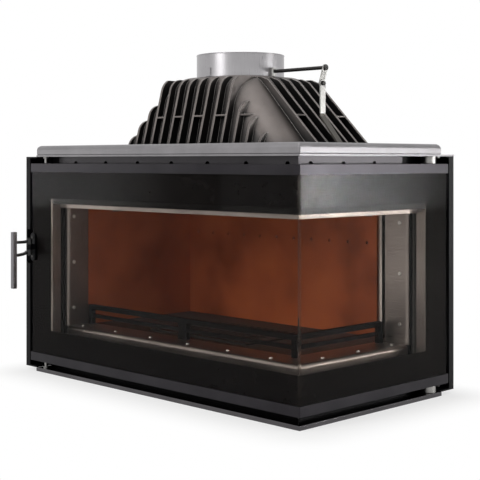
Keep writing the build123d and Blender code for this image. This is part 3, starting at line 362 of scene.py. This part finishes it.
# Ceramic glass, drawn and polished, 4 mm thick: clear and faintly warm, with a barely tinted cloud. These
# panes mirror little, so the IOR is brought down from 1.5; light passes straight through to what is behind
glass, place = blank("ceramic_glass")
smear = add(glass, "ShaderNodeTexNoise", {"Scale": per_mm(70.0), "Detail": 3.0}, {"Vector": place})
cloudy = add(
    glass, "ShaderNodeValToRGB", None, {"Fac": smear.outputs["Fac"]}, [(0.3, "#f9f6f3"), (0.7, "#f3f0ec")]
)
pane = add(
    glass, "ShaderNodeBsdfPrincipled", {"Roughness": 0.0, "Transmission Weight": 1.0, "IOR": 1.09},
    {"Base Color": cloudy.outputs["Color"]},
)
clear = add(glass, "ShaderNodeBsdfTransparent", {"Color": linear("#f4f0ec")})
ray = add(glass, "ShaderNodeLightPath")
passing = add(
    glass, "ShaderNodeMath", {"operation": "MAXIMUM"},
    {0: ray.outputs["Is Shadow Ray"], 1: ray.outputs["Is Diffuse Ray"]},
)
pane_mix = add(
    glass, "ShaderNodeMixShader", None, {0: passing.outputs[0], 1: pane.outputs[0], 2: clear.outputs[0]}
)
add(glass, "ShaderNodeOutputMaterial", None, {"Surface": pane_mix.outputs[0]})

# Black ceramic print, fired onto the back of the glass: dense and even, with a satin sheen where it wets
# the pane
print_black, place = blank("fired_ceramic_print")
cover = add(print_black, "ShaderNodeTexNoise", {"Scale": per_mm(40.0), "Detail": 3.0}, {"Vector": place})
grit = add(print_black, "ShaderNodeTexNoise", {"Scale": per_mm(3.0)}, {"Vector": place})
print_tone = add(
    print_black, "ShaderNodeValToRGB", None, {"Fac": cover.outputs["Fac"]},
    [(0.3, "#131213"), (0.7, "#191819")],
)
print_rough = add(
    print_black, "ShaderNodeMapRange", {"To Min": 0.2, "To Max": 0.26}, {"Value": grit.outputs["Fac"]}
)
print_shader = add(
    print_black, "ShaderNodeBsdfPrincipled", {"Specular IOR Level": 0.25},
    {"Base Color": print_tone.outputs["Color"], "Roughness": print_rough.outputs[0]},
)
add(print_black, "ShaderNodeOutputMaterial", None, {"Surface": print_shader.outputs[0]})

# Corner seal: clear silicone, moulded between the two panes; it shows as little more than a thin pale line
silicone, place = blank("clear_silicone")
flow = add(silicone, "ShaderNodeTexNoise", {"Scale": per_mm(12.0), "Detail": 2.0}, {"Vector": place})
flow_rough = add(
    silicone, "ShaderNodeMapRange", {"To Min": 0.1, "To Max": 0.22}, {"Value": flow.outputs["Fac"]}
)
seal_skin = add(
    silicone, "ShaderNodeBsdfPrincipled", {"Base Color": linear("#8d8a88"), "IOR": 1.4},
    {"Roughness": flow_rough.outputs[0]},
)
seal_clear = add(silicone, "ShaderNodeBsdfTransparent", {"Color": linear("#f4f1ee")})
seal_mix = add(
    silicone, "ShaderNodeMixShader", {0: 0.96}, {1: seal_skin.outputs[0], 2: seal_clear.outputs[0]}
)
add(silicone, "ShaderNodeOutputMaterial", None, {"Surface": seal_mix.outputs[0]})

# Glass-fibre rope, braided: near-black yarn about 3 mm wide, matt with a soft fuzz. A diagonal wave at a
# scale of 1 has its bands wave_width metres apart
rope, place = blank("glass_fibre_rope")
yarn_mm = 2.734
wave_width = 2 * math.pi / (10 * math.sqrt(3))
yarn = add(
    rope, "ShaderNodeTexWave",
    {"Scale": per_mm(yarn_mm) * wave_width, "Distortion": 3.0, "Detail": 2.0, "bands_direction": "DIAGONAL"},
    {"Vector": place},
)
yarn_tone = add(
    rope, "ShaderNodeValToRGB", None, {"Fac": yarn.outputs["Fac"]}, [(0.0, "#0b0a0a"), (1.0, "#1d1b1b")]
)
yarn_rough = add(rope, "ShaderNodeMapRange", {"To Min": 0.8, "To Max": 0.95}, {"Value": yarn.outputs["Fac"]})
yarn_skin = add(
    rope, "ShaderNodeBump", {"Strength": 1.0, "Distance": 0.0003}, {"Height": yarn.outputs["Fac"]}
)
rope_shader = add(
    rope, "ShaderNodeBsdfPrincipled", {"Sheen Weight": 0.3},
    {
        "Base Color": yarn_tone.outputs["Color"],
        "Roughness": yarn_rough.outputs[0],
        "Normal": yarn_skin.outputs["Normal"],
    },
)
add(rope, "ShaderNodeOutputMaterial", None, {"Surface": rope_shader.outputs[0]})

# Vermiculite board, pressed: sandy, with flakes of 1 to 3 mm that catch the light
board, place = blank("vermiculite_board")
flakes = add(board, "ShaderNodeTexVoronoi", {"Scale": per_mm(2.5)}, {"Vector": place})
flake_tone = add(
    board, "ShaderNodeValToRGB", None, {"Fac": flakes.outputs["Color"]},
    [(0.0, "#8a6f4e"), (0.5, "#b39872"), (1.0, "#cbb591")],
)
flake_rough = add(
    board, "ShaderNodeMapRange", {"To Min": 0.75, "To Max": 0.95}, {"Value": flakes.outputs["Color"]}
)
flake_skin = add(
    board, "ShaderNodeBump", {"Strength": 1.0, "Distance": 0.0003}, {"Height": flakes.outputs["Color"]}
)
board_shader = add(
    board, "ShaderNodeBsdfPrincipled", {"Specular IOR Level": 0.3},
    {
        "Base Color": flake_tone.outputs["Color"],
        "Roughness": flake_rough.outputs[0],
        "Normal": flake_skin.outputs["Normal"],
    },
)
add(board, "ShaderNodeOutputMaterial", None, {"Surface": board_shader.outputs[0]})

# Which node has which finish
finishes = {
    casing_black: [
        "left_jamb", "hinge_jamb", "lower_face_band", "upper_face_band", "left_face_post", "hinge_face_post",
        "handle_bracket", "latch_keeper",
    ],
    wall_black: ["rear_wall", "left_wall"],
    guard_black: ["log_guard", "door_top_channel", "door_bottom_channel"],
    slab_grey: ["top_cover", "top_plate"],
    strip_grey: ["door_top_strip", "door_bottom_strip"],
    base_steel: ["base_plate"],
    mill_steel: ["floor_pan", "ash_box", "ash_pan", "baffle_supports", "air_spigot"],
    strip_steel: ["air_slot_strip"],
    strap_steel: ["link_guide"],
    hood_iron: ["hood"],
    hearth_iron: ["hearth_plate", "grate"],
    stainless_x: ["ledge_trim", "right_trim", "air_wash_strip"],
    stainless_z: ["left_trim", "latch_stile", "hinge_stile"],
    collar_steel: ["flue_collar"],
    handle_steel: ["handle"],
    lining: ["left_lining", "back_lining"],
    zinc: [
        "hinge_pins", "hinge_bushes", "centring_pins", "hood_bolts", "damper_crank", "damper_link",
        "damper_flap", "air_flap", "air_flap_shaft", "damper_bush",
    ],
    screw_steel: ["trim_screws"],
    dark_zinc: ["damper_shaft", "link_bolt", "handle_pin", "door_screws"],
    glass: ["front_glass", "side_glass"],
    print_black: ["front_print", "side_print"],
    silicone: ["corner_seal"],
    rope: ["door_seal"],
    board: ["baffle"],
}
for finish, names in finishes.items():
    for name in names:
        node = nodes[name]
        if not node.material_slots:
            node.data.materials.append(finish)
        for holder in node.material_slots:
            holder.material = finish


def piece(name, mesh, finish, body):
    """A finished, smooth-shaded piece in the scene, riding on its body."""
    mesh.materials.append(finish)
    for face in mesh.polygons:
        face.use_smooth = True
    thing = bpy.data.objects.new(name, mesh)
    bpy.context.scene.collection.objects.link(thing)
    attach(thing, body)
    return thing


def closed_tube(name, rings):
    """A mesh that joins rings of points, the last one to the first, into one closed tube."""
    shell = bmesh.new()
    loops = [[shell.verts.new(point) for point in ring] for ring in rings]
    for i, ring in enumerate(loops):
        following = loops[(i + 1) % len(loops)]
        for k in range(len(ring)):
            beside = (k + 1) % len(ring)
            shell.faces.new((ring[k], following[k], following[beside], ring[beside]))
    bmesh.ops.recalc_face_normals(shell, faces=shell.faces)
    mesh = bpy.data.meshes.new(name)
    shell.to_mesh(mesh)
    shell.free()
    return mesh


# Rope seal of the door: a braided rope pressed into a loop round the opening
seal_low, seal_high = (Vector(corner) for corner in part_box("door_seal"))
rope_r = 0.0068
rope_turn = 0.014
rope_step = 0.003
rope_sides = 18
turn_steps = 6
strand_count = 6
strand_height = 0.0005
strand_lay = 0.0225


def rounded_loop(corners, radius, step):
    """Points at even steps along a closed run of straight lines with rounded corners."""
    path = []
    count = len(corners)
    for i in range(count):
        before, corner, after = corners[i - 1], corners[i], corners[(i + 1) % count]
        start = corner + (before - corner).normalized() * radius
        end = corner + (after - corner).normalized() * radius
        for k in range(turn_steps + 1):
            t = k / turn_steps
            path.append(start * (1 - t) ** 2 + corner * 2 * t * (1 - t) + end * t * t)
    points = []
    for i in range(len(path)):
        start, end = path[i], path[(i + 1) % len(path)]
        steps = max(1, round((end - start).length / step))
        points += [start.lerp(end, k / steps) for k in range(steps)]
    return points


front_y = seal_low.y + rope_r
side_x = seal_high.x - rope_r
low_z = seal_low.z + rope_r
high_z = seal_high.z - rope_r
left_x = seal_low.x + rope_r
rear_y = seal_high.y - rope_r
loop = rounded_loop(
    [
        Vector((left_x, front_y, low_z)),
        Vector((side_x, front_y, low_z)),
        Vector((side_x, rear_y, low_z)),
        Vector((side_x, rear_y, high_z)),
        Vector((side_x, front_y, high_z)),
        Vector((left_x, front_y, high_z)),
    ],
    rope_turn,
    rope_step,
)
rope_rings = []
travelled = 0.0
to_corner = Vector((1, -1, 0)).normalized()
for i, point in enumerate(loop):
    ahead = (loop[(i + 1) % len(loop)] - loop[i - 1]).normalized()
    across = ahead.cross(to_corner).normalized()
    outward = across.cross(ahead).normalized()
    ring = []
    for k in range(rope_sides):
        angle = 2 * math.pi * k / rope_sides
        braid = abs(math.sin(0.5 * strand_count * angle + math.pi * travelled / strand_lay))
        reach = rope_r - strand_height * (1 - braid)
        ring.append(point + (outward * math.cos(angle) + across * math.sin(angle)) * reach)
    rope_rings.append(ring)
    travelled += (loop[(i + 1) % len(loop)] - point).length
rope_mesh = closed_tube("braided_door_rope", rope_rings)
seal_rope = piece("braided_door_rope", rope_mesh, rope, "door")
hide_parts("door_seal")

# Collar: a rolled rim at the top
collar_high = Vector(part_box("flue_collar")[1])
rim_r = 0.0012
rim_sink = 0.0004
rim_drop = 0.0002
rim_steps = 96
rim_sides = 8
rim_rings = []
for i in range(rim_steps):
    turn = 2 * math.pi * i / rim_steps
    heading = Vector((math.cos(turn), math.sin(turn), 0))
    ring = []
    for k in range(rim_sides):
        angle = 2 * math.pi * k / rim_sides
        reach = collar_high.x - rim_sink + rim_r * math.cos(angle)
        height = collar_high.z - rim_r - rim_drop + rim_r * math.sin(angle)
        ring.append(heading * reach + Vector((0, 0, height)))
    rim_rings.append(ring)
rim_mesh = closed_tube("collar_rolled_rim", rim_rings)
piece("collar_rolled_rim", rim_mesh, collar_steel, "casing")


def seen_share(owner):
    """1 for rays that see a surface, straight, mirrored or through glass, and 0 for rays that light it."""
    ray = add(owner, "ShaderNodeLightPath")
    seen_or_mirrored = add(
        owner, "ShaderNodeMath", {"operation": "MAXIMUM"},
        {0: ray.outputs["Is Camera Ray"], 1: ray.outputs["Is Glossy Ray"]},
    )
    seen = add(
        owner, "ShaderNodeMath", {"operation": "MAXIMUM"},
        {0: seen_or_mirrored.outputs[0], 1: ray.outputs["Is Transmission Ray"]},
    )
    return seen.outputs[0]


# Studio floor: matt white with the object's shadow, fading into the white surroundings away from the object
floor_half = 12.0
shadow_reach = 0.15
plate_low, plate_high = (Vector(corner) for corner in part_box("base_plate"))
footprint_middle = ((plate_low.x + plate_high.x) / 2, (plate_low.y + plate_high.y) / 2, 0.0)
footprint_half = ((plate_high.x - plate_low.x) / 2, (plate_high.y - plate_low.y) / 2, 1.0)
floor_mesh = bpy.data.meshes.new("studio_floor")
floor_mesh.from_pydata(
    [
        (-floor_half, -floor_half, 0),
        (floor_half, -floor_half, 0),
        (floor_half, floor_half, 0),
        (-floor_half, floor_half, 0),
    ],
    [],
    [(0, 1, 2, 3)],
)
studio_floor = bpy.data.objects.new("studio_floor", floor_mesh)
bpy.context.scene.collection.objects.link(studio_floor)
floor_white, place = blank("matt_white_floor")
from_middle = add(
    floor_white, "ShaderNodeVectorMath", {"operation": "SUBTRACT", 1: footprint_middle}, {0: place}
)
one_side = add(floor_white, "ShaderNodeVectorMath", {"operation": "ABSOLUTE"}, {0: from_middle.outputs[0]})
beyond = add(
    floor_white, "ShaderNodeVectorMath", {"operation": "SUBTRACT", 1: footprint_half},
    {0: one_side.outputs[0]},
)
outside = add(
    floor_white, "ShaderNodeVectorMath", {"operation": "MAXIMUM", 1: (0.0, 0.0, 0.0)}, {0: beyond.outputs[0]}
)
away = add(floor_white, "ShaderNodeVectorMath", {"operation": "LENGTH"}, {0: outside.outputs[0]})
fade = add(
    floor_white, "ShaderNodeMapRange",
    {
        "From Min": 0.0,
        "From Max": shadow_reach,
        "To Min": 0.62,
        "To Max": 1.0,
        "interpolation_type": "SMOOTHSTEP",
    },
    {"Value": away.outputs["Value"]},
)
glow_share = add(
    floor_white, "ShaderNodeMath", {"operation": "MULTIPLY"}, {0: fade.outputs[0], 1: seen_share(floor_white)}
)
matt = add(floor_white, "ShaderNodeBsdfDiffuse", {"Color": linear("#f4f3f2")})
white = add(floor_white, "ShaderNodeEmission", {"Color": linear("#ffffff"), "Strength": 1.0})
floor_mix = add(
    floor_white, "ShaderNodeMixShader", None,
    {0: glow_share.outputs[0], 1: matt.outputs[0], 2: white.outputs[0]},
)
add(floor_white, "ShaderNodeOutputMaterial", None, {"Surface": floor_mix.outputs[0]})
floor_mesh.materials.append(floor_white)

# Surroundings: white where they are seen, mirrored or looked at through glass, softer as light
world = bpy.data.worlds.new("studio")
bpy.context.scene.world = world
world.use_nodes = True
world.node_tree.nodes.clear()
soft = add(world, "ShaderNodeBackground", {"Color": linear("#ffffff"), "Strength": 0.4})
white = add(world, "ShaderNodeBackground", {"Color": linear("#ffffff"), "Strength": 1.0})
sky = add(world, "ShaderNodeMixShader", None, {0: seen_share(world), 1: soft.outputs[0], 2: white.outputs[0]})
add(world, "ShaderNodeOutputWorld", None, {"Surface": sky.outputs[0]})


def soft_box(name, stand, aim, width, height, watts):
    """A rectangular soft box that points from its stand at its aim."""
    lamp = bpy.data.lights.new(name, "AREA")
    lamp.shape = "RECTANGLE"
    lamp.size = width
    lamp.size_y = height
    lamp.energy = watts
    box = bpy.data.objects.new(name, lamp)
    box.location = stand
    box.rotation_euler = (Vector(aim) - Vector(stand)).to_track_quat("-Z", "Y").to_euler()
    bpy.context.scene.collection.objects.link(box)


def glow_card(name, near, far, low, high, strength, along_stops, up_stops):
    """A glowing card that stands on the line from near to far. Its glow follows one row of stops along that
    line and another from its lower edge to its upper one."""
    mesh = bpy.data.meshes.new(name)
    mesh.from_pydata(
        [(near[0], near[1], low), (far[0], far[1], low), (far[0], far[1], high), (near[0], near[1], high)],
        [],
        [(0, 1, 2, 3)],
    )
    across = mesh.uv_layers.new(name="across")
    for loop_uv, corner in zip(across.data, ((0, 0), (1, 0), (1, 1), (0, 1))):
        loop_uv.uv = corner
    card = bpy.data.objects.new(name, mesh)
    bpy.context.scene.collection.objects.link(card)
    card.visible_camera = False
    card.visible_shadow = False
    glow = blank(name)[0]
    spot = add(glow, "ShaderNodeUVMap", {"uv_map": "across"})
    split = add(glow, "ShaderNodeSeparateXYZ", None, {"Vector": spot.outputs[0]})
    along = add(glow, "ShaderNodeValToRGB", None, {"Fac": split.outputs["X"]}, along_stops)
    up = add(glow, "ShaderNodeValToRGB", None, {"Fac": split.outputs["Y"]}, up_stops)
    power = add(glow, "ShaderNodeMath", {"operation": "MULTIPLY", 1: strength}, {0: up.outputs["Color"]})
    light = add(
        glow, "ShaderNodeEmission", None, {"Color": along.outputs["Color"], "Strength": power.outputs[0]}
    )
    none = add(glow, "ShaderNodeBsdfTransparent")
    back = add(glow, "ShaderNodeNewGeometry")
    ahead = add(
        glow, "ShaderNodeMixShader", None,
        {0: back.outputs["Backfacing"], 1: light.outputs[0], 2: none.outputs[0]},
    )
    add(glow, "ShaderNodeOutputMaterial", None, {"Surface": ahead.outputs[0]})
    mesh.materials.append(glow)


# Two soft boxes, from above and from the front, aimed at the object's middle
middle = (0.0, 0.0, 0.35)
soft_box("overhead_soft_box", (0.1, -0.5, 2.8), middle, width=2.0, height=1.5, watts=20.0)
soft_box("front_soft_box", (-0.5, -3.2, 1.7), middle, width=1.2, height=1.5, watts=35.0)

# Two cards that the panes mirror: the right pane a bright one that fades towards the hinges, the front pane
# a dim one at its left end
card_low = 0.27
glow_card(
    "right_card", near=(1.80, 2.37), far=(2.45, 0.45), low=card_low, high=1.27, strength=68.0,
    along_stops=[
        (0.0, "#101010"), (0.1, "#404040"), (0.2, "#838383"), (0.3, "#b4b4b4"), (0.4, "#ffffff"),
        (0.6, "#6a6a6a"),
    ],
    up_stops=[
        (0.0, "#000000"), (0.06, "#ffffff"), (0.2, "#ffffff"), (0.25, "#767676"), (0.34, "#3c3c3c"),
        (0.42, "#262626"),
    ],
)
glow_card(
    "left_card", near=(-1.95, -2.35), far=(-2.75, -1.2), low=card_low, high=0.75, strength=5.0,
    along_stops=[(0.0, "#000000"), (0.15, "#505050"), (0.24, "#a0a0a0"), (0.38, "#e7e7e7"), (0.6, "#ffffff")],
    up_stops=[
        (0.0, "#000000"), (0.1, "#ffffff"), (0.42, "#ffffff"), (0.55, "#b0b0b0"), (0.72, "#a8a8a8"),
        (0.82, "#101010"),
    ],
)

# Camera, where the photograph was taken from: level, with its frame shifted down to the object
eye = (1.8414, -1.8237, 0.500)
turned_left = 45.3
camera = bpy.data.cameras.new("camera")
camera.sensor_width = 36.0
camera.lens = 84.8
camera.shift_y = -0.1654
camera_object = bpy.data.objects.new("camera", camera)
camera_object.location = eye
camera_object.rotation_euler = (math.radians(90.0), 0.0, math.radians(turned_left))
bpy.context.scene.collection.objects.link(camera_object)
bpy.context.scene.camera = camera_object
bpy.context.scene.view_settings.view_transform = "Standard"
